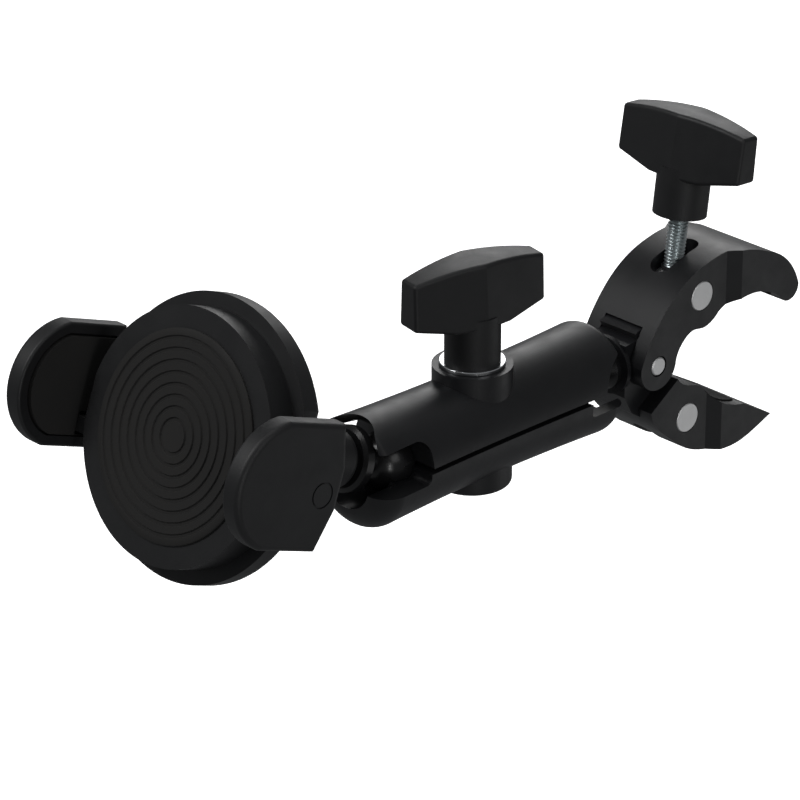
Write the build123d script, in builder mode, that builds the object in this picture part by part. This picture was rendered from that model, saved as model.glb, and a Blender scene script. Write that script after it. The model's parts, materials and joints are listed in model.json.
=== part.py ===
from build123d import *
import math
import os

# Phone handlebar mount, in millimetres.
# Frame: the origin is the centre of the handlebar in the clamp's mouth, +X runs along the bar,
# +Y points away from the rider, along the arm, and +Z is up.

os.makedirs("parts", exist_ok=True)

# ---- driving dimensions -------------------------------------------------------------------
# bar clamp: two jaws on one pivot, drawn together by a screw through two cross barrels
pivot_y = -29.9
pivot_z = 5.3
link = 23.9                   # pivot to either barrel, equal so that the screw line stays true
half_open = 50.4              # half of the angle between the barrels, seen from the pivot
screw_tilt = 7.35             # lean of the screw towards +Y
ear_half = 12.0               # half width of the jaws at their ears
hook_half = 14.4              # half width of the jaws at their hooks
hook_run = 4.0                # length of the ramp between the two widths
upper_ramp_y = -2.4
lower_ramp_y = -9.2
fork_half = 7.1               # half width of the slot between the upper jaw's ears
fork_r = 11.2
tongue_half = 6.8             # half width of the lower jaw's tongue
tongue_r = 7.7
tongue_web_r = 10.6           # the tongue's taller part, which closes the slot over the pivot
ear_r = 7.2
pin_r = 2.7
pin_recess_r = 3.1
barrel_r = 4.45
barrel_half = 12.1
screw_r = 2.9                 # M6
slot_half = 3.6
upper_slot_len = 16.0
lower_slot_len = 14.5
fit = 0.05                    # radial clearance of the running fits
mouth_y = 5.2                 # centre and radius of the upper jaw's mouth
mouth_z = -3.2
mouth_r = 20.6
pad_sunk = 1.2                # depth of the pads' pockets in the jaws
pad_proud = 0.5
pad_half = 11.0

# double socket arm
ball_r = 8.5                  # 17 mm balls
neck_r = 3.6                  # necks of the clamp's and of the holder's ball stud
holder_neck_r = 4.2
shank_r = 3.0
seat_gap = 0.15
arm_z = 4.3
arm_mid_y = -92.3
ball_span = 33.0              # either ball's distance from the arm's bolt
arm_r = 15.4
arm_end_r = 16.1
upper_left_end = -46.5
lower_left_end = -48.0
right_end = 46.4
split_low = 0.2               # top of the lower shell and bottom of the upper, from the arm's axis
split_high = 1.6
mouth_bore_r = 12.0
mouth_depth = 4.8             # from a ball's centre to the start of the open end
bowl_mouth_r = 9.0            # the lower shell's narrower open end, under the holder's ball
boss_r = 11.2
boss_top = 18.3
boss_bottom = -17.2
washer_r = 9.2
washer_h = 1.1
bolt_r = 2.95                 # M6
bolt_head_r = 5.4
bolt_head_h = 5.0
spring_r = 4.7
spring_wire = 0.45
spring_turns = 5
spring_pocket_r = 6.0
spring_pocket_z = 6.0

# T knobs
knob_half = 21.2
knob_neck_r = 7.8
knob_neck_h = 11.4
knob_h = 30.2
knob_exposed = 21.2           # from the upper barrel's centre to the clamp knob's neck
arm_knob_turn = 79.2          # long axis of each knob, from +X towards +Y
clamp_knob_turn = 5.4
insert_r = 5.0
insert_h = 9.0

# phone holder, in its own frame: x to the right, y up along the phone, z out of the screen
holder_tilt = 20.55
holder_y = -201.0
holder_z = 47.5
body_y = -10.0                # centre of the round body, below the phone's middle
disc_y = -8.7                 # centre of the jaws' round plates
disc_z = -2.5
disc_r = 17.6
disc_half_h = 17.0
disc_outer_x = 45.0
disc_inner_x = 39.2
disc_back = -21.5
body_r = 38.0
tray_r = 34.0
body_flat = 33.4
pad_front = -4.1
tray_front = -4.9
pocket_front = -7.0
tray_back = -13.2
cover_back = -20.0
post_foot_r = 19.0
post_r = 8.2
post_end = -68.0
collar_r = 9.2
module = 0.8                  # rack and pinion
pinion_teeth = 14
rack_addendum = 0.6
rack_dedendum = 0.95
backlash = 0.14
rack_depth = 5.2
rack_front = -7.6
rack_rear = -12.6
pinion_pin_r = 1.6
spring_floor = -17.4          # floor of the pocket for the pinion's spring
rim = 3.0                     # width of the jaws' raised rim
pad_groove = 0.6
recess_x = 40.7               # floor of the pad's recess in a jaw
pad_face_x = 38.4
rack_foot_x = 42.4

# ---- points and planes that follow from them ----------------------------------------------
lower_angle = -screw_tilt - half_open
upper_angle = -screw_tilt + half_open


def around_pivot(distance, angle):
    """Point (y, z) at this distance and angle from the clamp's pivot."""
    turn = math.radians(angle)
    return pivot_y + distance * math.cos(turn), pivot_z + distance * math.sin(turn)


def around_mouth(radius, angle):
    """Point (y, z) on a circle about the centre of the upper jaw's mouth."""
    turn = math.radians(angle)
    return mouth_y + radius * math.cos(turn), mouth_z + radius * math.sin(turn)


upper_y, upper_z = around_pivot(link, upper_angle)
lower_y, lower_z = around_pivot(link, lower_angle)
barrel_gap = 2 * link * math.sin(math.radians(half_open))

screw_dir = (0, math.sin(math.radians(screw_tilt)), math.cos(math.radians(screw_tilt)))
screw_plane = Plane(origin=(0, upper_y, upper_z), x_dir=(1, 0, 0), z_dir=screw_dir)
arm_plane = Plane(origin=(0, arm_mid_y, arm_z), x_dir=(1, 0, 0), z_dir=(0, 0, 1))
arm_side = Plane(origin=(0, arm_mid_y, arm_z), x_dir=(0, 1, 0), z_dir=(1, 0, 0))
arm_axis = Axis((0, arm_mid_y, arm_z), (0, 1, 0))
face_y = -math.cos(math.radians(holder_tilt))
face_z = math.sin(math.radians(holder_tilt))
holder = Plane(origin=(0, holder_y, holder_z), x_dir=(1, 0, 0), z_dir=(0, face_y, face_z))


ball_in_holder = holder.to_local_coords(Vector(0, arm_mid_y - ball_span, arm_z))
stud_y = ball_in_holder.Y     # axis of the post and of the ball stud
ball_back = ball_in_holder.Z


def holder_at(x, y, z):
    """The holder's own plane, moved to a point given in the holder's frame."""
    return Plane(origin=holder.from_local_coords((x, y, z)), x_dir=(1, 0, 0), z_dir=holder.z_dir)


def holder_side(x):
    """A plane across the holder at x: its x runs up along the phone and its y out of the screen."""
    return Plane(origin=holder.from_local_coords((x, 0, 0)), x_dir=holder.y_dir, z_dir=(1, 0, 0))


def turned(plane, angle):
    """The same plane, turned about its own z axis."""
    x_dir = plane.x_dir.rotate(Axis((0, 0, 0), plane.z_dir), angle)
    return Plane(origin=plane.origin, x_dir=x_dir, z_dir=plane.z_dir)


def finish(solid, label):
    """Name a finished piece and write it."""
    solid.label = label
    export_step(solid, "parts/" + label + ".step")


# ---- bar clamp ----------------------------------------------------------------------------
def jaw_relief(start_y):
    """Plan outline of the material beside a jaw's ears, which are narrower than its hook."""
    with BuildSketch(Plane.XY.offset(-60)) as relief:
        for side in (1, -1):
            with BuildLine():
                Polyline(
                    (side * ear_half, -60),
                    (side * ear_half, start_y),
                    (side * hook_half, start_y + hook_run),
                    (side * 25, start_y + hook_run),
                    (side * 25, -60),
                    close=True,
                )
            make_face()
    return relief.sketch


def upper_pad_outline(proud, sunk):
    """Side outline of the upper pad: a band along the mouth."""
    with BuildSketch(Plane.YZ.offset(-pad_half)) as outline:
        with BuildLine():
            near = CenterArc((mouth_y, mouth_z), mouth_r - proud, 50, 66)
            far = CenterArc((mouth_y, mouth_z), mouth_r + sunk, 50, 66)
            Line(near @ 0, far @ 0)
            Line(near @ 1, far @ 1)
        make_face()
    return outline.sketch


def lower_pad_outline(proud, sunk):
    """Side outline of the lower pad: a bent band along the lower jaw's inner face."""
    lean_y = 0.487
    lean_z = 0.873
    route = ((-9.4, -9.4), (-5.7, -12.9), (-1.5, -15.1), (3.2, -16.5))
    top = [(y + proud * lean_y, z + proud * lean_z) for y, z in route]
    bottom = [(y - sunk * lean_y, z - sunk * lean_z) for y, z in route]
    with BuildSketch(Plane.YZ.offset(-pad_half)) as outline:
        with BuildLine():
            upper = Spline(*top)
            lower = Spline(*bottom)
            Line(upper @ 0, lower @ 0)
            Line(upper @ 1, lower @ 1)
        make_face()
    return outline.sketch


def screw_slot(plane, length):
    """Slot for the screw's swing, long way across the barrel."""
    with BuildSketch(plane) as slot:
        SlotOverall(length, 2 * slot_half, rotation=90)
    return slot.sketch


with BuildPart() as upper_jaw:
    with BuildSketch(Plane.YZ.offset(-hook_half)):
        with BuildLine():
            back = Spline(
                around_pivot(ear_r, 172),
                (-34.4, 12.0),
                (-29.8, 18.8),
                (-23.9, 24.8),
                (-16.4, 29.3),
                (-8.6, 31.6),
                (-1.5, 32.4),
                (5.0, 31.4),
                (13.0, 28.4),
            )
            nose = ThreePointArc(back @ 1, (22.6, 21.8), (26.4, 14.6))
            tip = ThreePointArc(nose @ 1, (25.0, 11.3), around_mouth(mouth_r, 43))
            mouth = ThreePointArc(tip @ 1, around_mouth(mouth_r, 80), around_mouth(mouth_r, 121))
            throat = Spline(
                mouth @ 1,
                (-8.6, 12.2),
                (-11.6, 11.5),
                (-15.6, 12.0),
                (-19.6, 10.0),
                around_pivot(ear_r, 350),
            )
            ThreePointArc(throat @ 1, around_pivot(ear_r, 270), back @ 0)
        make_face()
    extrude(amount=2 * hook_half)
    extrude(jaw_relief(upper_ramp_y), amount=120, mode=Mode.SUBTRACT)
    with BuildSketch(Plane.YZ.offset(-fork_half)):
        with Locations((pivot_y, pivot_z)):
            Circle(fork_r)
    extrude(amount=2 * fork_half, mode=Mode.SUBTRACT)
    extrude(screw_slot(screw_plane, upper_slot_len), amount=14, both=True, mode=Mode.SUBTRACT)
    with BuildSketch(Plane.YZ.offset(-20)):
        with Locations((upper_y, upper_z)):
            Circle(barrel_r + fit)
        with Locations((pivot_y, pivot_z)):
            Circle(pin_r + fit)
    extrude(amount=40, mode=Mode.SUBTRACT)
    for side in (1, -1):
        with BuildSketch(Plane.YZ.offset(side * ear_half)):
            with Locations((pivot_y, pivot_z)):
                Circle(pin_recess_r)
        extrude(amount=-side * 0.8, mode=Mode.SUBTRACT)
    extrude(upper_pad_outline(1, pad_sunk), amount=2 * pad_half, mode=Mode.SUBTRACT)
finish(upper_jaw.part, "upper_jaw")

with BuildPart() as upper_jaw_pad:
    extrude(upper_pad_outline(pad_proud, pad_sunk), amount=2 * pad_half)
finish(upper_jaw_pad.part, "upper_jaw_pad")

with BuildPart() as lower_jaw:
    with BuildSketch(Plane.YZ.offset(-hook_half)):
        with BuildLine():
            shoulder = Line((-32.5, -8.7), (-21.5, -1.4))
            step = Spline(shoulder @ 1, (-18.0, -4.4), (-14.8, -5.4), (-10.2, -8.6))
            seat = Spline(step @ 1, (-5.7, -12.9), (-1.5, -15.1), (4.1, -16.6))
            lip = Line(seat @ 1, (16.3, -23.7))
            belly = Spline(lip @ 1, (8.7, -26.6), (1.9, -28.3), (-5.0, -28.2), (-13.4, -26.3), (-22.6, -20.6))
            Spline(belly @ 1, (-28.6, -15.4), (-31.4, -11.8), shoulder @ 0)
        make_face()
    extrude(amount=2 * hook_half)
    extrude(jaw_relief(lower_ramp_y), amount=120, mode=Mode.SUBTRACT)
    with BuildSketch(Plane.YZ.offset(-tongue_half)):
        with Locations((pivot_y, pivot_z)):
            Circle(tongue_r)
        with BuildLine():
            web = ThreePointArc(around_pivot(tongue_web_r, 28), around_pivot(tongue_web_r, 70),
                                around_pivot(tongue_web_r, 115))
            Polyline(web @ 1, (pivot_y, pivot_z), web @ 0)
        make_face()
        with BuildLine():
            Polyline(
                (-38.2, 12.4),
                (-33.0, 12.9),
                (-27.0, 8.0),
                (-22.8, 1.5),
                (-21.5, -2.2),
                (-20.0, -8.0),
                (-28.0, -14.0),
                (-35.0, -9.4),
                (-38.2, -3.6),
                close=True,
            )
        make_face()
    extrude(amount=2 * tongue_half)
    with BuildSketch(Plane(origin=(0, -39.0, arm_z + 0.6), z_dir=(0, 1, 0))):
        Circle(8.6)
    extrude(amount=1.4)
    extrude(
        screw_slot(screw_plane.offset(-barrel_gap), lower_slot_len),
        amount=20,
        both=True,
        mode=Mode.SUBTRACT,
    )
    with BuildSketch(Plane.YZ.offset(-20)):
        with Locations((lower_y, lower_z)):
            Circle(barrel_r + fit)
        with Locations((pivot_y, pivot_z)):
            Circle(pin_r + 0.01)
    extrude(amount=40, mode=Mode.SUBTRACT)
    with BuildSketch(Plane(origin=(0, -39.0, arm_z), z_dir=(0, 1, 0))):
        Circle(shank_r + fit)
    extrude(amount=5.2, mode=Mode.SUBTRACT)
    extrude(lower_pad_outline(1, pad_sunk), amount=2 * pad_half, mode=Mode.SUBTRACT)
finish(lower_jaw.part, "lower_jaw")

with BuildPart() as lower_jaw_pad:
    extrude(lower_pad_outline(pad_proud, pad_sunk), amount=2 * pad_half)
    extrude(
        screw_slot(screw_plane.offset(-barrel_gap), lower_slot_len),
        amount=20,
        both=True,
        mode=Mode.SUBTRACT,
    )
finish(lower_jaw_pad.part, "lower_jaw_pad")


def cross_pin(y, z, radius, half):
    """A plain pin along X with softened ends."""
    with BuildPart() as pin:
        with BuildSketch(Plane.YZ.offset(-half)):
            with Locations((y, z)):
                Circle(radius)
        extrude(amount=2 * half)
        chamfer(pin.edges().filter_by(GeomType.CIRCLE), 0.3)
    return pin.part


finish(cross_pin(pivot_y, pivot_z, pin_r, ear_half + 0.1), "pivot_pin")

for label, centre_y, centre_z, plane in (
    ("upper_barrel", upper_y, upper_z, screw_plane),
    ("lower_barrel", lower_y, lower_z, screw_plane.offset(-barrel_gap)),
):
    with BuildPart() as barrel:
        add(cross_pin(centre_y, centre_z, barrel_r, barrel_half))
        with BuildSketch(plane):
            Circle(screw_r + fit)
        extrude(amount=10, both=True, mode=Mode.SUBTRACT)
    finish(barrel.part, label)

with BuildPart() as clamp_screw:
    with BuildSketch(screw_plane.offset(-barrel_gap - 7.0)):
        Circle(screw_r)
    extrude(amount=barrel_gap + 7.0 + knob_exposed + insert_h)
    chamfer(clamp_screw.edges().group_by(Axis.Z)[0], 0.6)
finish(clamp_screw.part, "clamp_screw")

with BuildPart() as screw_clips:
    for height in (-barrel_r - 1.1, barrel_r + 0.3):
        with BuildSketch(screw_plane.offset(height)):
            Circle(slot_half - 0.15)
            Circle(screw_r, mode=Mode.SUBTRACT)
        extrude(amount=0.8)
finish(screw_clips.part, "screw_clips")


# ---- T knobs ------------------------------------------------------------------------------
def knob_plan(plane, middle, end):
    """Plan of the head: a long lozenge with cut ends."""
    with BuildSketch(plane) as plan:
        with BuildLine():
            Polyline(
                (knob_half + 1, end),
                (0, middle),
                (-knob_half - 1, end),
                (-knob_half - 1, -end),
                (0, -middle),
                (knob_half + 1, -end),
                close=True,
            )
        make_face()
    return plan.sketch


def t_knob(base, bore_r, bore_h):
    """T knob standing on base, its long axis along the base's x."""
    side = Plane(origin=base.origin, x_dir=base.x_dir, z_dir=-base.y_dir)
    with BuildPart() as knob:
        loft([knob_plan(base.offset(knob_neck_h - 2), 7.9, 4.0).face(),
              knob_plan(base.offset(knob_h + 1), 6.3, 3.2).face()])
        with BuildSketch(side):
            with BuildLine():
                crown = ThreePointArc((knob_half, knob_h - 2.6), (0, knob_h), (-knob_half, knob_h - 2.6))
                Polyline(
                    crown @ 1,
                    (-knob_half, knob_neck_h + 2.8),
                    (-8.5, knob_neck_h),
                    (8.5, knob_neck_h),
                    (knob_half, knob_neck_h + 2.8),
                    crown @ 0,
                )
            make_face()
        extrude(amount=20, both=True, mode=Mode.INTERSECT)
        fillet(knob.edges(), 1.1)
        with BuildSketch(base):
            Circle(knob_neck_r)
        extrude(amount=knob_neck_h + 3)
        with BuildSketch(base):
            Circle(bore_r)
        extrude(amount=bore_h, mode=Mode.SUBTRACT)
    return knob.part


clamp_knob_base = turned(screw_plane.offset(knob_exposed), clamp_knob_turn)
clamp_knob = t_knob(clamp_knob_base, screw_r, insert_h)
finish(clamp_knob, "clamp_knob")

arm_knob_z = boss_top + washer_h
arm_knob_base = turned(arm_plane.offset(arm_knob_z), arm_knob_turn)
arm_knob = t_knob(arm_knob_base, insert_r, insert_h)
finish(arm_knob, "arm_knob")

with BuildPart() as arm_knob_insert:
    with BuildSketch(arm_plane.offset(arm_knob_z)):
        Circle(insert_r)
        Circle(bolt_r + fit, mode=Mode.SUBTRACT)
    extrude(amount=insert_h)
finish(arm_knob_insert.part, "arm_knob_insert")


# ---- double socket arm --------------------------------------------------------------------
def arm_outline(left_end, left_round, right_round):
    """Half section of the arm's outside, to be turned about its axis."""
    with BuildSketch(arm_side) as outline:
        with BuildLine():
            Line((left_end, 0), (left_end, arm_end_r - left_round))
            left = ThreePointArc(
                (left_end, arm_end_r - left_round),
                (left_end + 0.293 * left_round, arm_end_r - 0.293 * left_round),
                (left_end + left_round, arm_end_r),
            )
            waist = Spline(left @ 1, (-ball_span + 12, arm_r), (ball_span - 12, arm_r),
                           (right_end - right_round, arm_end_r))
            ThreePointArc(
                waist @ 1,
                (right_end - 0.293 * right_round, arm_end_r - 0.293 * right_round),
                (right_end, arm_end_r - right_round),
            )
            Polyline((right_end, arm_end_r - right_round), (right_end, 0), (left_end, 0))
        make_face()
    return outline.sketch


def window(start, end, low, high, corner):
    """Side outline of a window for the ball's neck, open at the arm's end."""
    with BuildSketch(arm_side.offset(-30)) as opening:
        with Locations(((start + end) / 2, (low + high) / 2)):
            RectangleRounded(end - start, high - low, corner)
    return opening.sketch


stud_out = Plane(
    origin=(0, arm_mid_y - ball_span, arm_z),
    x_dir=(1, 0, 0),
    z_dir=(0, face_y, face_z),
)

with BuildPart() as arm_upper_shell:
    revolve(arm_outline(upper_left_end, 2.2, 2.2), axis=arm_axis, revolution_arc=360)
    with BuildSketch(arm_plane):
        Circle(boss_r)
    extrude(amount=boss_top)
    with BuildSketch(arm_plane.offset(split_high - 40)):
        Rectangle(60, 120)
    extrude(amount=40, mode=Mode.SUBTRACT)
    for end in (-ball_span, ball_span):
        with Locations((0, arm_mid_y + end, arm_z)):
            Sphere(ball_r + seat_gap, mode=Mode.SUBTRACT)
    with BuildSketch(arm_side.offset(-30)):
        with Locations((ball_span + 16.0, -1.0)):
            Circle(12.0)
    extrude(amount=60, mode=Mode.SUBTRACT)
    for end in (-1, 1):
        with BuildSketch(Plane(origin=(0, arm_mid_y + end * (ball_span + mouth_depth), arm_z), z_dir=(0, end, 0))):
            Circle(mouth_bore_r)
        extrude(amount=20, mode=Mode.SUBTRACT)
    with BuildSketch(stud_out.offset(mouth_depth)):
        Circle(mouth_bore_r)
    extrude(amount=30, mode=Mode.SUBTRACT)
    extrude(window(-ball_span - 40, -ball_span + 3.4, -8.5, 9.8, 4.0), amount=60, mode=Mode.SUBTRACT)
    with BuildSketch(arm_plane):
        Circle(bolt_r + 0.25)
    extrude(amount=30, mode=Mode.SUBTRACT)
    with BuildSketch(arm_plane):
        Circle(spring_pocket_r)
    extrude(amount=spring_pocket_z, mode=Mode.SUBTRACT)
finish(arm_upper_shell.part, "arm_upper_shell")

with BuildPart() as arm_lower_shell:
    revolve(arm_outline(lower_left_end, 7.0, 5.0), axis=arm_axis, revolution_arc=360)
    with BuildSketch(arm_plane.offset(boss_bottom)):
        Circle(boss_r)
    extrude(amount=-boss_bottom)
    fillet(arm_lower_shell.edges().group_by(Axis.Z)[0], 1.3)
    with BuildSketch(arm_plane.offset(split_low)):
        Rectangle(60, 120)
    extrude(amount=40, mode=Mode.SUBTRACT)
    for end in (-ball_span, ball_span):
        with Locations((0, arm_mid_y + end, arm_z)):
            Sphere(ball_r + seat_gap, mode=Mode.SUBTRACT)
    for end, mouth in ((-1, bowl_mouth_r), (1, mouth_bore_r)):
        with BuildSketch(Plane(origin=(0, arm_mid_y + end * (ball_span + mouth_depth), arm_z), z_dir=(0, end, 0))):
            Circle(mouth)
        extrude(amount=20, mode=Mode.SUBTRACT)
    extrude(window(-ball_span - 40, -ball_span + 2.4, -2.6, 12, 2.0), amount=60, mode=Mode.SUBTRACT)
    extrude(window(ball_span - 1.0, ball_span + 40, -3.8, 12, 1.0), amount=60, mode=Mode.SUBTRACT)
    with BuildSketch(arm_plane.offset(-40)):
        Circle(bolt_r + 0.25)
    extrude(amount=60, mode=Mode.SUBTRACT)
    with BuildSketch(arm_plane.offset(boss_bottom)):
        Circle(bolt_head_r + 0.3)
    extrude(amount=bolt_head_h + 0.6, mode=Mode.SUBTRACT)
    with BuildSketch(arm_plane.offset(split_high)):
        Circle(spring_pocket_r)
    extrude(amount=-spring_pocket_z - split_high, mode=Mode.SUBTRACT)
finish(arm_lower_shell.part, "arm_lower_shell")

bolt_head_z = boss_bottom + 0.6
with BuildPart() as arm_bolt:
    with BuildSketch(arm_plane.offset(bolt_head_z)):
        RegularPolygon(bolt_head_r, 6)
    extrude(amount=bolt_head_h)
    with BuildSketch(arm_plane.offset(bolt_head_z)):
        Circle(bolt_r)
    extrude(amount=arm_knob_z + insert_h - 0.5 - bolt_head_z)
finish(arm_bolt.part, "arm_bolt")

with BuildPart() as arm_washer:
    with BuildSketch(arm_plane.offset(boss_top)):
        Circle(washer_r)
        Circle(bolt_r + 0.25, mode=Mode.SUBTRACT)
    extrude(amount=washer_h)
    chamfer(arm_washer.edges().filter_by(GeomType.CIRCLE).group_by(SortBy.RADIUS)[-1], 0.2)
finish(arm_washer.part, "arm_washer")

def coil_spring(base, radius, wire, pitch, height):
    """Coil spring standing on base."""
    with BuildPart() as spring:
        with BuildLine():
            coil = Helix(pitch=pitch, height=height, radius=radius)
        with BuildSketch(Plane(origin=coil @ 0, z_dir=coil % 0)):
            Circle(wire)
        sweep(is_frenet=True)
    return base.location * spring.part


spring_h = 2 * spring_pocket_z - 1.2
arm_spring_base = arm_plane.offset(-spring_h / 2)
arm_spring = coil_spring(arm_spring_base, spring_r, spring_wire, spring_h / spring_turns, spring_h)
finish(arm_spring, "arm_spring")


def ball_stud(start, neck, sections):
    """Ball stud turned about start's z axis: ball at the origin, neck radius, (distance, radius) steps."""
    profile_plane = Plane(origin=start.origin, x_dir=start.z_dir, z_dir=start.x_dir)
    neck_start = math.sqrt(ball_r ** 2 - neck ** 2)
    with BuildPart() as stud:
        with BuildSketch(profile_plane):
            with BuildLine():
                ball = ThreePointArc((-ball_r, 0), (0, ball_r), (neck_start, neck))
                steps = Polyline(ball @ 1, *sections, (sections[-1][0], 0))
                Line(steps @ 1, ball @ 0)
            make_face()
        revolve(axis=Axis(start.origin, start.z_dir), revolution_arc=360)
    return stud.part


clamp_stud_start = Plane(origin=(0, arm_mid_y + ball_span, arm_z), x_dir=(1, 0, 0), z_dir=(0, 1, 0))
clamp_stud_len = -39.0 - (arm_mid_y + ball_span)
clamp_stud = ball_stud(
    clamp_stud_start,
    neck_r,
    (
        (clamp_stud_len - 4.0, neck_r),
        (clamp_stud_len - 1.4, 6.2),
        (clamp_stud_len - fit, 6.2),
        (clamp_stud_len - fit, shank_r),
        (clamp_stud_len + 5.0, shank_r),
    ),
)
finish(clamp_stud, "clamp_ball_stud")

collar_end = post_end - ball_back
holder_stud = ball_stud(
    stud_out,
    holder_neck_r,
    (
        (collar_end - 7.2, holder_neck_r),
        (collar_end - 4.6, 8.0),
        (collar_end - 3.9, collar_r),
        (collar_end - 1.4, collar_r),
        (collar_end - 0.6, 8.1),
        (collar_end - 0.6, 6.2),
        (collar_end - fit, 6.2),
        (collar_end - fit, shank_r),
        (collar_end + 20.0, shank_r),
    ),
)
finish(holder_stud, "holder_ball_stud")


# ---- phone holder -------------------------------------------------------------------------
def round_body(z, radius):
    """Round plan of the holder's body, flat at the sides where the jaws close on it."""
    with BuildSketch(holder_at(0, body_y, z)) as plan:
        Circle(radius)
        Rectangle(2 * body_flat, 2 * radius, mode=Mode.INTERSECT)
    return plan.sketch


with BuildPart() as front_pad:
    with BuildSketch(holder_at(0, body_y, tray_front)):
        Circle(28.0)
    extrude(amount=pad_front - tray_front)
finish(front_pad.part, "front_pad")

cover_screw_spots = [(24.0, 20.0), (-24.0, 20.0), (-24.0, -20.0), (24.0, -20.0)]
post_screw_spots = [(0, 13.5), (-11.7, -6.75), (11.7, -6.75)]
pinion_r = module * pinion_teeth / 2

with BuildPart() as body_tray:
    extrude(round_body(tray_back, tray_r), amount=tray_front - tray_back)
    with BuildSketch(holder_at(0, body_y, tray_back)):
        Rectangle(90, 2 * (pinion_r + rack_depth) + 0.6)
    extrude(amount=pocket_front - tray_back, mode=Mode.SUBTRACT)
    with BuildSketch(holder_at(0, body_y, pocket_front)):
        Circle(pinion_pin_r + 0.01)
    extrude(amount=1.2, mode=Mode.SUBTRACT)
    with BuildSketch(holder_at(0, body_y, tray_back)):
        with Locations(*cover_screw_spots):
            Circle(1.2)
    extrude(amount=6.0, mode=Mode.SUBTRACT)
finish(body_tray.part, "body_tray")

with BuildPart() as rear_cover:
    extrude(round_body(cover_back, body_r), amount=tray_back - cover_back)
    fillet(rear_cover.edges().group_by(Axis(holder.origin, holder.z_dir))[0], 2.4)
    with BuildSketch(holder_at(0, body_y, tray_back)):
        Circle(7.2)
    extrude(amount=spring_floor - tray_back, mode=Mode.SUBTRACT)
    with BuildSketch(holder_at(0, body_y, spring_floor)):
        Circle(pinion_pin_r + 0.01)
    extrude(amount=-1.4, mode=Mode.SUBTRACT)
    with BuildSketch(holder_at(0, body_y, tray_back)):
        with Locations(*cover_screw_spots):
            Circle(1.5)
    extrude(amount=-10, mode=Mode.SUBTRACT)
    with BuildSketch(holder_at(0, body_y, cover_back)):
        with Locations(*cover_screw_spots):
            Circle(2.6)
    extrude(amount=2.4, mode=Mode.SUBTRACT)
    with BuildSketch(holder_at(0, stud_y, tray_back)):
        with Locations(*post_screw_spots):
            Circle(2.4)
    extrude(amount=-2.8, mode=Mode.SUBTRACT)
    with BuildSketch(holder_at(0, stud_y, tray_back)):
        with Locations(*post_screw_spots):
            Circle(1.5)
    extrude(amount=-10, mode=Mode.SUBTRACT)
finish(rear_cover.part, "rear_cover")

with BuildPart() as cover_screws:
    with BuildSketch(holder_at(0, body_y, cover_back + 0.6)):
        with Locations(*cover_screw_spots):
            Circle(2.4)
    extrude(amount=1.8)
    with BuildSketch(holder_at(0, body_y, cover_back + 0.6)):
        with Locations(*cover_screw_spots):
            Circle(1.15)
    extrude(amount=11.0)
finish(cover_screws.part, "cover_screws")

with BuildPart() as holder_post:
    with BuildSketch(Plane(origin=holder_at(0, stud_y, 0).origin, x_dir=-holder.z_dir, z_dir=(1, 0, 0))):
        with BuildLine():
            foot = Polyline((-cover_back, 0), (-cover_back, post_foot_r), (-cover_back + 4, post_foot_r))
            flare = Spline(foot @ 1, (-cover_back + 13, 12.0), (-cover_back + 30, post_r))
            shaft = Line(flare @ 1, (-post_end - 3, post_r))
            nose = ThreePointArc(
                shaft @ 1,
                (-post_end - 0.88, post_r - 0.88),
                (-post_end, post_r - 3),
            )
            Polyline(nose @ 1, (-post_end, 0), foot @ 0)
        make_face()
    revolve(axis=Axis(holder_at(0, stud_y, 0).origin, holder.z_dir), revolution_arc=360)
    with BuildSketch(holder_at(0, stud_y, post_end)):
        Circle(shank_r + fit)
    extrude(amount=20.4, mode=Mode.SUBTRACT)
    with BuildSketch(holder_at(0, stud_y, cover_back)):
        with Locations(*post_screw_spots):
            Circle(1.2)
    extrude(amount=-6.0, mode=Mode.SUBTRACT)
finish(holder_post.part, "holder_post")

with BuildPart() as post_screws:
    with BuildSketch(holder_at(0, stud_y, tray_back - 2.8)):
        with Locations(*post_screw_spots):
            Circle(2.3)
    extrude(amount=2.0)
    with BuildSketch(holder_at(0, stud_y, tray_back - 2.8)):
        with Locations(*post_screw_spots):
            Circle(1.15)
    extrude(amount=-9.6)
finish(post_screws.part, "post_screws")

# rack and pinion, which keep the two jaws centred
pressure = math.radians(20)
base_r = pinion_r * math.cos(pressure)
tip_r = pinion_r + module
root_r = pinion_r - rack_addendum - 0.25
tooth_half = (math.pi * module - backlash) / 4


def involute(angle):
    """Involute function of a pressure angle."""
    return math.tan(angle) - angle


def flank(radius, middle, side):
    """Point on one side of a pinion tooth at a radius, the tooth's middle at this angle."""
    swing = tooth_half / pinion_r + involute(pressure) - involute(math.acos(base_r / radius))
    turn = middle + side * swing
    return radius * math.cos(turn), radius * math.sin(turn)


def on_circle(radius, angle):
    return radius * math.cos(angle), radius * math.sin(angle)


with BuildPart() as pinion:
    with BuildSketch(holder_at(0, body_y, rack_rear)):
        with BuildLine():
            for tooth in range(pinion_teeth):
                middle = math.pi / 2 + 2 * math.pi * tooth / pinion_teeth
                next_gap = middle + math.pi / pinion_teeth
                radii = [base_r, base_r + 0.35, pinion_r + 0.3, tip_r]
                rise = Spline(*[flank(radius, middle, -1) for radius in radii])
                fall = Spline(*[flank(radius, middle, 1) for radius in reversed(radii)])
                ThreePointArc(rise @ 1, on_circle(tip_r, middle), fall @ 0)
                foot_turn = tooth_half / pinion_r + involute(pressure)
                root = ThreePointArc(
                    on_circle(root_r, middle + foot_turn),
                    on_circle(root_r, next_gap),
                    on_circle(root_r, 2 * next_gap - middle - foot_turn),
                )
                Line(fall @ 1, root @ 0)
                Line(root @ 1, flank(base_r, 2 * next_gap - middle, -1))
        make_face()
        Circle(pinion_pin_r + fit, mode=Mode.SUBTRACT)
    extrude(amount=rack_front - rack_rear)
finish(pinion.part, "pinion")

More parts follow.
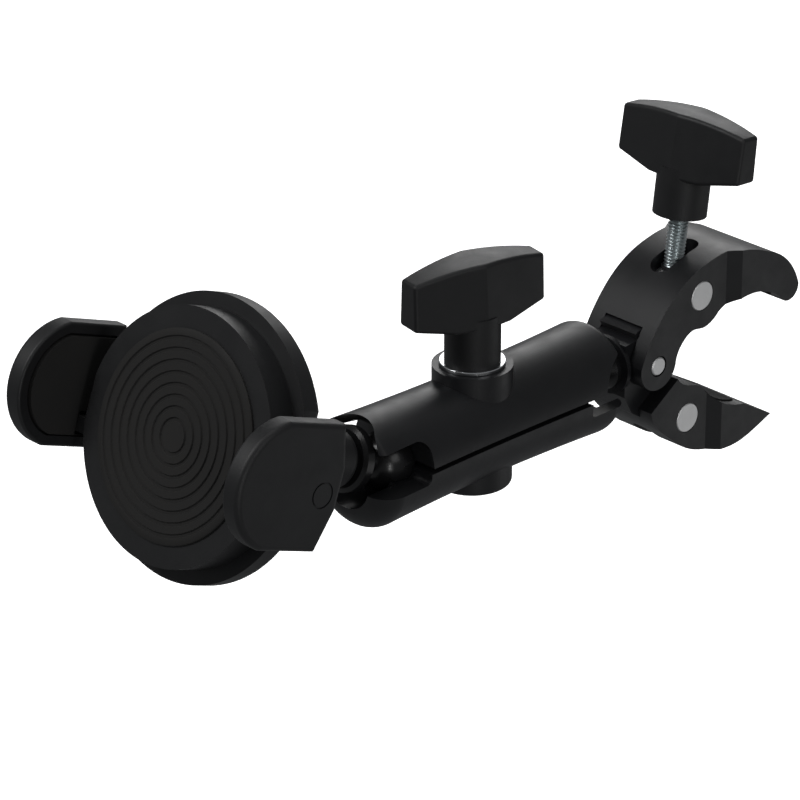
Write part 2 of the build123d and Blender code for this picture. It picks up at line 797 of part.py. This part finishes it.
with BuildPart() as pinion_pin:
    with BuildSketch(holder_at(0, body_y, spring_floor - 1.4)):
        Circle(pinion_pin_r)
    extrude(amount=pocket_front + 1.1 - spring_floor + 1.4)
finish(pinion_pin.part, "pinion_pin")

pinion_spring = coil_spring(holder_at(0, body_y, spring_floor + 0.6), 5.0, 0.35, 1.1, 3.3)
finish(pinion_spring, "pinion_spring")


def jaw_outline(side, x, inset):
    """Side outline of a jaw's plate at x, drawn in by inset."""
    top = disc_y + disc_half_h
    bottom = disc_y - disc_half_h
    with BuildSketch(holder_side(side * x)) as outline:
        with Locations((disc_y, disc_z)):
            Circle(disc_r)
        with BuildLine():
            Polyline(
                (top, disc_z),
                (top, -17.8),
                (disc_y + 5.7, disc_back),
                (disc_y - 5.7, disc_back),
                (bottom, -17.8),
                (bottom, disc_z),
                close=True,
            )
        make_face()
        with Locations((disc_y, disc_z)):
            Rectangle(2 * disc_half_h, 60, mode=Mode.INTERSECT)
        if inset:
            offset(amount=-inset, mode=Mode.REPLACE)
    return outline.sketch


def rack_section(side, x, clearance):
    """Section of a rack's bar at x."""
    centre = body_y + side * (pinion_r + rack_depth / 2 + 0.4)
    with BuildSketch(holder_side(side * x)) as section:
        with Locations((centre, (rack_front + rack_rear) / 2)):
            Rectangle(rack_depth + 0.9 + 2 * clearance, rack_front - rack_rear + 2 * clearance)
    return section.sketch


def rack_foot(side, x):
    """Section of the foot on a rack's end."""
    centre = body_y + side * (pinion_r + rack_depth / 2 - 0.1)
    with BuildSketch(holder_side(side * x)) as section:
        with Locations((centre, (rack_front + rack_rear) / 2)):
            Rectangle(rack_depth + 0.6, 11.6)
    return section.sketch


def foot_holes(side, x, radius):
    """Both screws' circles on a rack's foot."""
    centre = body_y + side * (pinion_r + rack_depth / 2 - 0.1)
    middle = (rack_front + rack_rear) / 2
    with BuildSketch(holder_side(side * x)) as holes:
        with Locations((centre, middle + 4.2), (centre, middle - 4.2)):
            Circle(radius)
    return holes.sketch


pitch = math.pi * module
tip_half = tooth_half - rack_addendum * math.tan(pressure)
root_half = tooth_half + rack_dedendum * math.tan(pressure)
rack_root = pinion_r + rack_dedendum

for label, side in (("right_jaw", 1), ("left_jaw", -1)):
    with BuildPart() as jaw_shell:
        extrude(jaw_outline(side, disc_inner_x, 0), amount=side * (disc_outer_x - disc_inner_x))
        faces = jaw_shell.faces().sort_by(Axis.X)
        outer_face = faces[-1] if side > 0 else faces[0]
        inner_face = faces[0] if side > 0 else faces[-1]
        fillet(outer_face.edges(), 1.6)
        fillet(inner_face.edges(), 0.8)
        extrude(jaw_outline(side, disc_inner_x, rim), amount=side * (recess_x - disc_inner_x), mode=Mode.SUBTRACT)
        extrude(rack_foot(side, recess_x), amount=side * (rack_foot_x - recess_x), mode=Mode.SUBTRACT)
        extrude(foot_holes(side, rack_foot_x, 1.0), amount=side * 1.9, mode=Mode.SUBTRACT)
        with BuildSketch(holder_side(side * disc_outer_x)):
            with Locations((body_y - 0.4, -15.0)):
                Circle(3.6)
                Circle(3.1, mode=Mode.SUBTRACT)
        extrude(amount=-side * 0.3, mode=Mode.SUBTRACT)
    finish(jaw_shell.part, label + "_shell")

    with BuildPart() as jaw_pad:
        extrude(jaw_outline(side, pad_face_x, rim + pad_groove), amount=side * (recess_x - pad_face_x))
        extrude(rack_section(side, pad_face_x, 0.2), amount=side * 5, mode=Mode.SUBTRACT)
        extrude(foot_holes(side, recess_x, 1.7), amount=-side * 1.1, mode=Mode.SUBTRACT)
    finish(jaw_pad.part, label + "_pad")

    with BuildPart() as jaw_rack:
        with BuildSketch(turned(holder_at(0, body_y, rack_rear), 90 - 90 * side)):
            with BuildLine():
                outline = [(-16.0, pinion_r + rack_depth), (-16.0, rack_root)]
                for tooth in range(-6, 4):
                    middle = (tooth + 0.5) * pitch
                    outline.append((middle - root_half, rack_root))
                    outline.append((middle - tip_half, pinion_r - rack_addendum))
                    outline.append((middle + tip_half, pinion_r - rack_addendum))
                    outline.append((middle + root_half, rack_root))
                outline.append((recess_x, rack_root))
                outline.append((recess_x, pinion_r + rack_depth))
                Polyline(*outline, close=True)
            make_face()
        extrude(amount=rack_front - rack_rear)
        extrude(rack_foot(side, recess_x), amount=side * (rack_foot_x - recess_x))
        extrude(foot_holes(side, recess_x, 1.1), amount=side * 5, mode=Mode.SUBTRACT)
    finish(jaw_rack.part, label + "_rack")

    with BuildPart() as jaw_screws:
        extrude(foot_holes(side, recess_x, 1.0), amount=side * (rack_foot_x - recess_x + 1.8))
        extrude(foot_holes(side, recess_x, 1.5), amount=-side * 0.9)
    finish(jaw_screws.part, label + "_screws")
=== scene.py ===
import json
import math

import bmesh
import bpy
from mathutils import Matrix, Vector


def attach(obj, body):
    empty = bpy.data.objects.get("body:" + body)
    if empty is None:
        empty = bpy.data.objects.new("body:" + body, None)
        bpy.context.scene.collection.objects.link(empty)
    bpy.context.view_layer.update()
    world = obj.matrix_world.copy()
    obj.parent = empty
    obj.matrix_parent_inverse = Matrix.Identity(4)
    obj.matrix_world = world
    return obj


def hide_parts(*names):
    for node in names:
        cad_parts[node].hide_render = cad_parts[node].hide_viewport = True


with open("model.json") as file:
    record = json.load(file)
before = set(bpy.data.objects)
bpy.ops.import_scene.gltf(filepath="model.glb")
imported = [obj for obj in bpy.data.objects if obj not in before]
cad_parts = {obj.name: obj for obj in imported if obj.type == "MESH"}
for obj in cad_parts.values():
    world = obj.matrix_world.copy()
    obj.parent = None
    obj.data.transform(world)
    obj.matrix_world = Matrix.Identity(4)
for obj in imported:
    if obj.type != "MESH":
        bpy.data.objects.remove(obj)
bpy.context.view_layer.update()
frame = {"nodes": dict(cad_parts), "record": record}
nodes = frame["nodes"]


# ---- materials ----------------------------------------------------------------------------
def new_material(name):
    """A material, its node tree and principled shader, and a coordinate node."""
    mat = bpy.data.materials.new(name)
    mat.use_nodes = True
    tree = mat.node_tree
    shader = tree.nodes["Principled BSDF"]
    coord = tree.nodes.new("ShaderNodeTexCoord")
    return mat, tree, shader, coord


def noise(tree, coord, scale, detail=3.0, roughness=0.55, distortion=0.0):
    """Noise texture in the piece's own space, scale in waves a metre."""
    node = tree.nodes.new("ShaderNodeTexNoise")
    node.inputs["Scale"].default_value = scale
    node.inputs["Detail"].default_value = detail
    node.inputs["Roughness"].default_value = roughness
    node.inputs["Distortion"].default_value = distortion
    tree.links.new(coord.outputs["Object"], node.inputs["Vector"])
    return node


noise_low, noise_high = 0.3, 0.7      # where nearly all of a noise texture's values lie


def spread(tree, source, low, high):
    """Map a noise's values to low..high."""
    node = tree.nodes.new("ShaderNodeMapRange")
    node.inputs["From Min"].default_value = noise_low
    node.inputs["From Max"].default_value = noise_high
    node.inputs["To Min"].default_value = low
    node.inputs["To Max"].default_value = high
    tree.links.new(source, node.inputs["Value"])
    return node.outputs["Result"]


def blend_colour(tree, factor, a, b):
    """Colour that goes from a to b with the factor."""
    node = tree.nodes.new("ShaderNodeMix")
    node.data_type = "RGBA"
    node.inputs["A"].default_value = (*a, 1)
    node.inputs["B"].default_value = (*b, 1)
    tree.links.new(factor, node.inputs["Factor"])
    return node.outputs["Result"]


def bump(tree, shader, height, strength, distance, below=None):
    """Bump on the shader's normal, on top of an earlier bump if one is given."""
    node = tree.nodes.new("ShaderNodeBump")
    node.inputs["Strength"].default_value = strength
    node.inputs["Distance"].default_value = distance
    tree.links.new(height, node.inputs["Height"])
    if below:
        tree.links.new(below, node.inputs["Normal"])
    tree.links.new(node.outputs["Normal"], shader.inputs["Normal"])
    return node.outputs["Normal"]


def black_finish(name, base, light, rough, grain=2600.0, grain_depth=0.00004, swing=0.06):
    """Black moulded or coated finish: fine grain, faint cloudy variation in colour and gloss."""
    mat, tree, shader, coord = new_material(name)
    cloud = noise(tree, coord, scale=45.0, detail=4.0)
    fine = noise(tree, coord, grain, detail=2.0, roughness=0.6)
    smear = noise(tree, coord, scale=120.0, detail=5.0, roughness=0.65, distortion=0.4)
    colour = blend_colour(tree, cloud.outputs["Fac"], base, light)
    gloss = spread(tree, smear.outputs["Fac"], rough - swing, rough + swing)
    tree.links.new(colour, shader.inputs["Base Color"])
    tree.links.new(gloss, shader.inputs["Roughness"])
    grained = bump(tree, shader, fine.outputs["Fac"], strength=0.55, distance=grain_depth)
    bump(tree, shader, cloud.outputs["Fac"], strength=0.15, distance=0.0002, below=grained)
    shader.inputs["Specular IOR Level"].default_value = 0.36
    return mat


def rubber(name):
    """Matt black rubber with a fine grain."""
    mat, tree, shader, coord = new_material(name)
    cloud = noise(tree, coord, scale=90.0, detail=4.0)
    fine = noise(tree, coord, scale=3800.0, detail=2.0, roughness=0.7)
    colour = blend_colour(tree, cloud.outputs["Fac"], (0.010, 0.010, 0.010), (0.020, 0.019, 0.018))
    tree.links.new(colour, shader.inputs["Base Color"])
    tree.links.new(spread(tree, cloud.outputs["Fac"], 0.74, 0.88), shader.inputs["Roughness"])
    bump(tree, shader, fine.outputs["Fac"], strength=0.5, distance=0.00003)
    shader.inputs["Specular IOR Level"].default_value = 0.3
    return mat


def metal(name, dark, bright, smooth, rough, scale=160.0):
    """Bare metal: cloudy colour between dark and bright, fine marks in its gloss and surface."""
    mat, tree, shader, coord = new_material(name)
    marks = noise(tree, coord, scale * 12, detail=4.0, roughness=0.7)
    cloud = noise(tree, coord, scale, detail=4.0, roughness=0.6)
    colour = blend_colour(tree, cloud.outputs["Fac"], dark, bright)
    tree.links.new(colour, shader.inputs["Base Color"])
    tree.links.new(spread(tree, marks.outputs["Fac"], smooth, rough), shader.inputs["Roughness"])
    bump(tree, shader, marks.outputs["Fac"], strength=0.4, distance=0.00001)
    shader.inputs["Metallic"].default_value = 1.0
    return mat


def grey(value):
    return (value, value, value)


finishes = {
    "black_coated_metal": black_finish(
        "coated_metal", (0.0062, 0.0064, 0.0074), (0.0100, 0.0103, 0.0115), rough=0.44),
    "black_gloss_ball": black_finish(
        "gloss_ball", (0.006, 0.006, 0.0065), (0.010, 0.010, 0.0105), rough=0.24,
        grain=900.0, grain_depth=0.00001, swing=0.04),
    "black_moulded": black_finish(
        "moulded", (0.0068, 0.0070, 0.0077), (0.0108, 0.0110, 0.0118), rough=0.50),
    "natural_nylon": black_finish(
        "nylon", (0.02, 0.02, 0.021), (0.028, 0.028, 0.029), rough=0.42),
    "black_rubber": rubber("rubber"),
    "satin_steel": metal("satin_steel", grey(0.60), grey(0.70), 0.40, 0.56, scale=240.0),
    "zinc_steel": metal("zinc_steel", (0.47, 0.53, 0.55), (0.62, 0.66, 0.66), 0.25, 0.42, scale=200.0),
    "polished_washer": metal(
        "polished_washer", (0.62, 0.63, 0.65), (0.75, 0.76, 0.77), 0.12, 0.24, scale=120.0),
    "spring_steel": metal("spring_steel", (0.2, 0.2, 0.21), (0.32, 0.32, 0.33), 0.3, 0.45),
    "insert_brass": metal("insert_brass", (0.62, 0.44, 0.2), (0.74, 0.56, 0.28), 0.25, 0.4),
}


def paint(obj, mat):
    """Gives the piece this one material."""
    obj.data.materials.clear()
    obj.data.materials.append(mat)


def bevel(obj, width, segments=3, angle=32):
    """Softens the sharp edges of a piece without touching its own mesh."""
    modifier = obj.modifiers.new("bevel", "BEVEL")
    modifier.width = width
    modifier.segments = segments
    modifier.limit_method = "ANGLE"
    modifier.angle_limit = math.radians(angle)
    modifier.use_clamp_overlap = True
    modifier.harden_normals = True


slot_of = {part["node"]: part["material_slot"] for part in frame["record"]["subparts"]}
for name, obj in nodes.items():
    paint(obj, finishes[slot_of[name]])

# ---- pieces with more detail than their CAD solids ----------------------------------------
joints = {joint["name"]: joint for joint in frame["record"]["behaviour"]["joints"]}
mounts = {mount["name"]: mount for mount in frame["record"]["mounts"]}


def place_on(origin, axis):
    """Matrix that puts +Z along axis at origin, and +X as near to the world's as it can be."""
    z = Vector(axis).normalized()
    x = Vector((1, 0, 0))
    y = z.cross(x).normalized()
    x = y.cross(z)
    return Matrix.Translation(Vector(origin)) @ Matrix((x, y, z)).transposed().to_4x4()


def ringed(name, rings, matrix, mat, smooth_angle=40):
    """Closed piece through rings of points, all of the same length, placed by the matrix."""
    mesh = bpy.data.meshes.new(name)
    bm = bmesh.new()
    made = [[bm.verts.new(matrix @ Vector(point)) for point in ring] for ring in rings]
    count = len(made[0])
    for low, high in zip(made, made[1:]):
        for i in range(count):
            j = (i + 1) % count
            bm.faces.new((low[i], low[j], high[j], high[i]))
    bm.faces.new(list(reversed(made[0])))
    bm.faces.new(made[-1])
    bmesh.ops.recalc_face_normals(bm, faces=bm.faces)
    bm.to_mesh(mesh)
    bm.free()
    mesh.shade_smooth()
    mesh.set_sharp_from_angle(angle=math.radians(smooth_angle))
    obj = bpy.data.objects.new(name, mesh)
    bpy.context.collection.objects.link(obj)
    paint(obj, mat)
    return obj


def circle(radius, height, count):
    """Ring of points about the Z axis."""
    turns = [2 * math.pi * i / count for i in range(count)]
    return [(radius * math.cos(turn), radius * math.sin(turn), height) for turn in turns]


# ---- clamp screw: an M6 thread, plain where the upper barrel and its clips hold it --------
upper_pivot = Vector(joints["clamp_knob_turn"]["pos_m"])
lower_pivot = Vector(joints["lower_barrel_turn"]["pos_m"])
screw_axis = Vector(joints["clamp_knob_turn"]["axis"])
screw_r = 0.0029
thread_pitch = 0.001
thread_depth = 0.00052
thread_crest = 0.12           # share of half a pitch at the full radius
thread_flank = 0.7            # share of half a pitch from the crest down to the root
plain_half = 0.0052           # plain to each side of the upper barrel's middle
runout = 0.0008               # length over which the thread fades, and the end tapers
end_taper = 0.0006
screw_past_barrel = 0.0070    # beyond the lower barrel's middle
screw_low = -(upper_pivot - lower_pivot).length - screw_past_barrel
screw_high = 0.0225           # inside the knob
rings_per_turn = 8


def ramp(value):
    """The value, held between 0 and 1."""
    return max(0.0, min(1.0, value))


def thread_ring(height, sides=40):
    """Section of the screw at a height from the upper barrel's middle."""
    thread = thread_depth * ramp((abs(height) - plain_half) / runout)
    taper = end_taper * (1 - ramp((height - screw_low) / runout))
    ring = []
    for i in range(sides):
        turn = (height / thread_pitch - i / sides) % 1.0
        cut = ramp((abs(2 * turn - 1) - thread_crest) / thread_flank)
        radius = screw_r - thread * cut - taper
        angle = 2 * math.pi * i / sides
        ring.append((radius * math.cos(angle), radius * math.sin(angle), height))
    return ring


screw_len = screw_high - screw_low
steps = int(screw_len / (thread_pitch / rings_per_turn))
screw_rings = [thread_ring(screw_low + screw_len * k / steps) for k in range(steps + 1)]
screw_base = place_on(upper_pivot, screw_axis)
screw = ringed("clamp_screw_threaded", screw_rings, screw_base, finishes["zinc_steel"])
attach(screw, "clamp_screw_set")
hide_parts("clamp_screw")

# ---- front pad: round grooves in the rubber -----------------------------------------------
pad_face = Vector(mounts["phone_rest"]["pos_m"])
pad_axis = Vector(mounts["phone_rest"]["axis"])
pad_r = 0.028
pad_h = 0.0008
pad_chamfer = 0.0003
pad_chamfer_h = 0.00025
pad_centre_r = 0.001
groove_first_r = 0.0255
groove_step = 0.003
groove_count = 8
groove_depth = 0.0004
groove_half_top = 0.0006
groove_half_floor = 0.0003

profile = [(pad_r, 0.0), (pad_r, pad_h - pad_chamfer_h), (pad_r - pad_chamfer, pad_h)]
for groove in range(groove_count):
    groove_r = groove_first_r - groove * groove_step
    profile += [
        (groove_r + groove_half_top, pad_h),
        (groove_r + groove_half_floor, pad_h - groove_depth),
        (groove_r - groove_half_floor, pad_h - groove_depth),
        (groove_r - groove_half_top, pad_h),
    ]
profile.append((pad_centre_r, pad_h))
pad_rings = [circle(radius, height, count=96) for radius, height in profile]
pad_base = place_on(pad_face - pad_axis * pad_h, pad_axis)
front_pad = ringed("front_pad_ringed", pad_rings, pad_base, finishes["black_rubber"])
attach(front_pad, "holder_body")
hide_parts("front_pad")

# ---- softened edges of the castings -------------------------------------------------------
for name in ("upper_jaw", "lower_jaw"):
    bevel(nodes[name], width=0.0005)
for name in ("arm_upper_shell", "arm_lower_shell"):
    bevel(nodes[name], width=0.0004)

# ---- camera -------------------------------------------------------------------------------
camera_spot = Vector((0.7619, -0.8597, 0.5228))
camera_azimuth = math.radians(-44.1603)       # from +X towards +Y
camera_elevation = math.radians(25.3149)

camera_data = bpy.data.cameras.new("camera")
camera_data.lens = 196.63
camera_data.sensor_width = 36.0
camera_data.clip_end = 10.0
camera = bpy.data.objects.new("camera", camera_data)
bpy.context.collection.objects.link(camera)
back = Vector((
    math.cos(camera_elevation) * math.cos(camera_azimuth),
    math.cos(camera_elevation) * math.sin(camera_azimuth),
    math.sin(camera_elevation),
))
right = Vector((0, 0, 1)).cross(back).normalized()
up = back.cross(right)
facing = Matrix((right, up, back)).transposed().to_4x4()
camera.matrix_world = Matrix.Translation(camera_spot) @ facing
bpy.context.scene.camera = camera

# ---- white floor, which lights nothing ----------------------------------------------------
reach = 4.0
floor_z = -0.30

floor_mesh = bpy.data.meshes.new("floor")
corners = [
    (-reach, -reach, floor_z),
    (reach, -reach, floor_z),
    (reach, reach, floor_z),
    (-reach, reach, floor_z),
]
floor_mesh.from_pydata(corners, [], [(0, 1, 2, 3)])
floor = bpy.data.objects.new("floor", floor_mesh)
bpy.context.collection.objects.link(floor)
floor_mat, _, floor_shader, _ = new_material("floor")
floor_shader.inputs["Base Color"].default_value = (0.95, 0.95, 0.95, 1)
floor_shader.inputs["Roughness"].default_value = 0.9
floor_shader.inputs["Emission Color"].default_value = (1, 1, 1, 1)
floor_shader.inputs["Emission Strength"].default_value = 0.9
paint(floor, floor_mat)
floor.visible_glossy = False
floor.visible_diffuse = False


# ---- lights -------------------------------------------------------------------------------
def area_light(name, spot, aim, width, height, power):
    """Soft rectangular light at spot, aimed at a point."""
    data = bpy.data.lights.new(name, "AREA")
    data.shape = "RECTANGLE"
    data.size = width
    data.size_y = height
    data.energy = power
    light = bpy.data.objects.new(name, data)
    bpy.context.collection.objects.link(light)
    light.visible_camera = False
    light.location = spot
    light.rotation_euler = (Vector(aim) - Vector(spot)).to_track_quat("-Z", "Y").to_euler()
    return light


middle = (0.0, -0.11, 0.01)
pivot_pin_spot = (0.0, -0.03, 0.005)
area_light("key", spot=(-0.45, -0.95, 1.05), aim=middle, width=0.35, height=0.7, power=9.5)
area_light("fill", spot=(1.3, -0.2, 0.7), aim=middle, width=0.7, height=0.7, power=2.4)
area_light("top", spot=(0.1, 0.2, 1.5), aim=middle, width=0.9, height=0.9, power=3.2)
area_light("strip", spot=(1.06, -0.67, -0.02), aim=middle, width=0.07, height=0.5, power=1.6)
area_light("rear", spot=(-0.75, 0.85, 0.55), aim=middle, width=0.6, height=0.6, power=4.0)
area_light("card", spot=(0.27, 0.23, -0.17), aim=pivot_pin_spot, width=0.25, height=0.2, power=0.085)

# the sky is brighter from below, as over a white table
sky_below = 0.22
sky_above = 0.16
world = bpy.data.worlds.new("studio")
world.use_nodes = True
world_tree = world.node_tree
sky = world_tree.nodes["Background"]
sky.inputs["Color"].default_value = (0.96, 0.98, 1.0, 1)
sky_coord = world_tree.nodes.new("ShaderNodeTexCoord")
sky_split = world_tree.nodes.new("ShaderNodeSeparateXYZ")
sky_fade = world_tree.nodes.new("ShaderNodeMapRange")
sky_fade.inputs["From Min"].default_value = -0.7
sky_fade.inputs["From Max"].default_value = 0.3
sky_fade.inputs["To Min"].default_value = sky_below
sky_fade.inputs["To Max"].default_value = sky_above
world_tree.links.new(sky_coord.outputs["Generated"], sky_split.inputs["Vector"])
world_tree.links.new(sky_split.outputs["Z"], sky_fade.inputs["Value"])
world_tree.links.new(sky_fade.outputs["Result"], sky.inputs["Strength"])
bpy.context.scene.world = world
bpy.context.scene.view_settings.view_transform = "Standard"
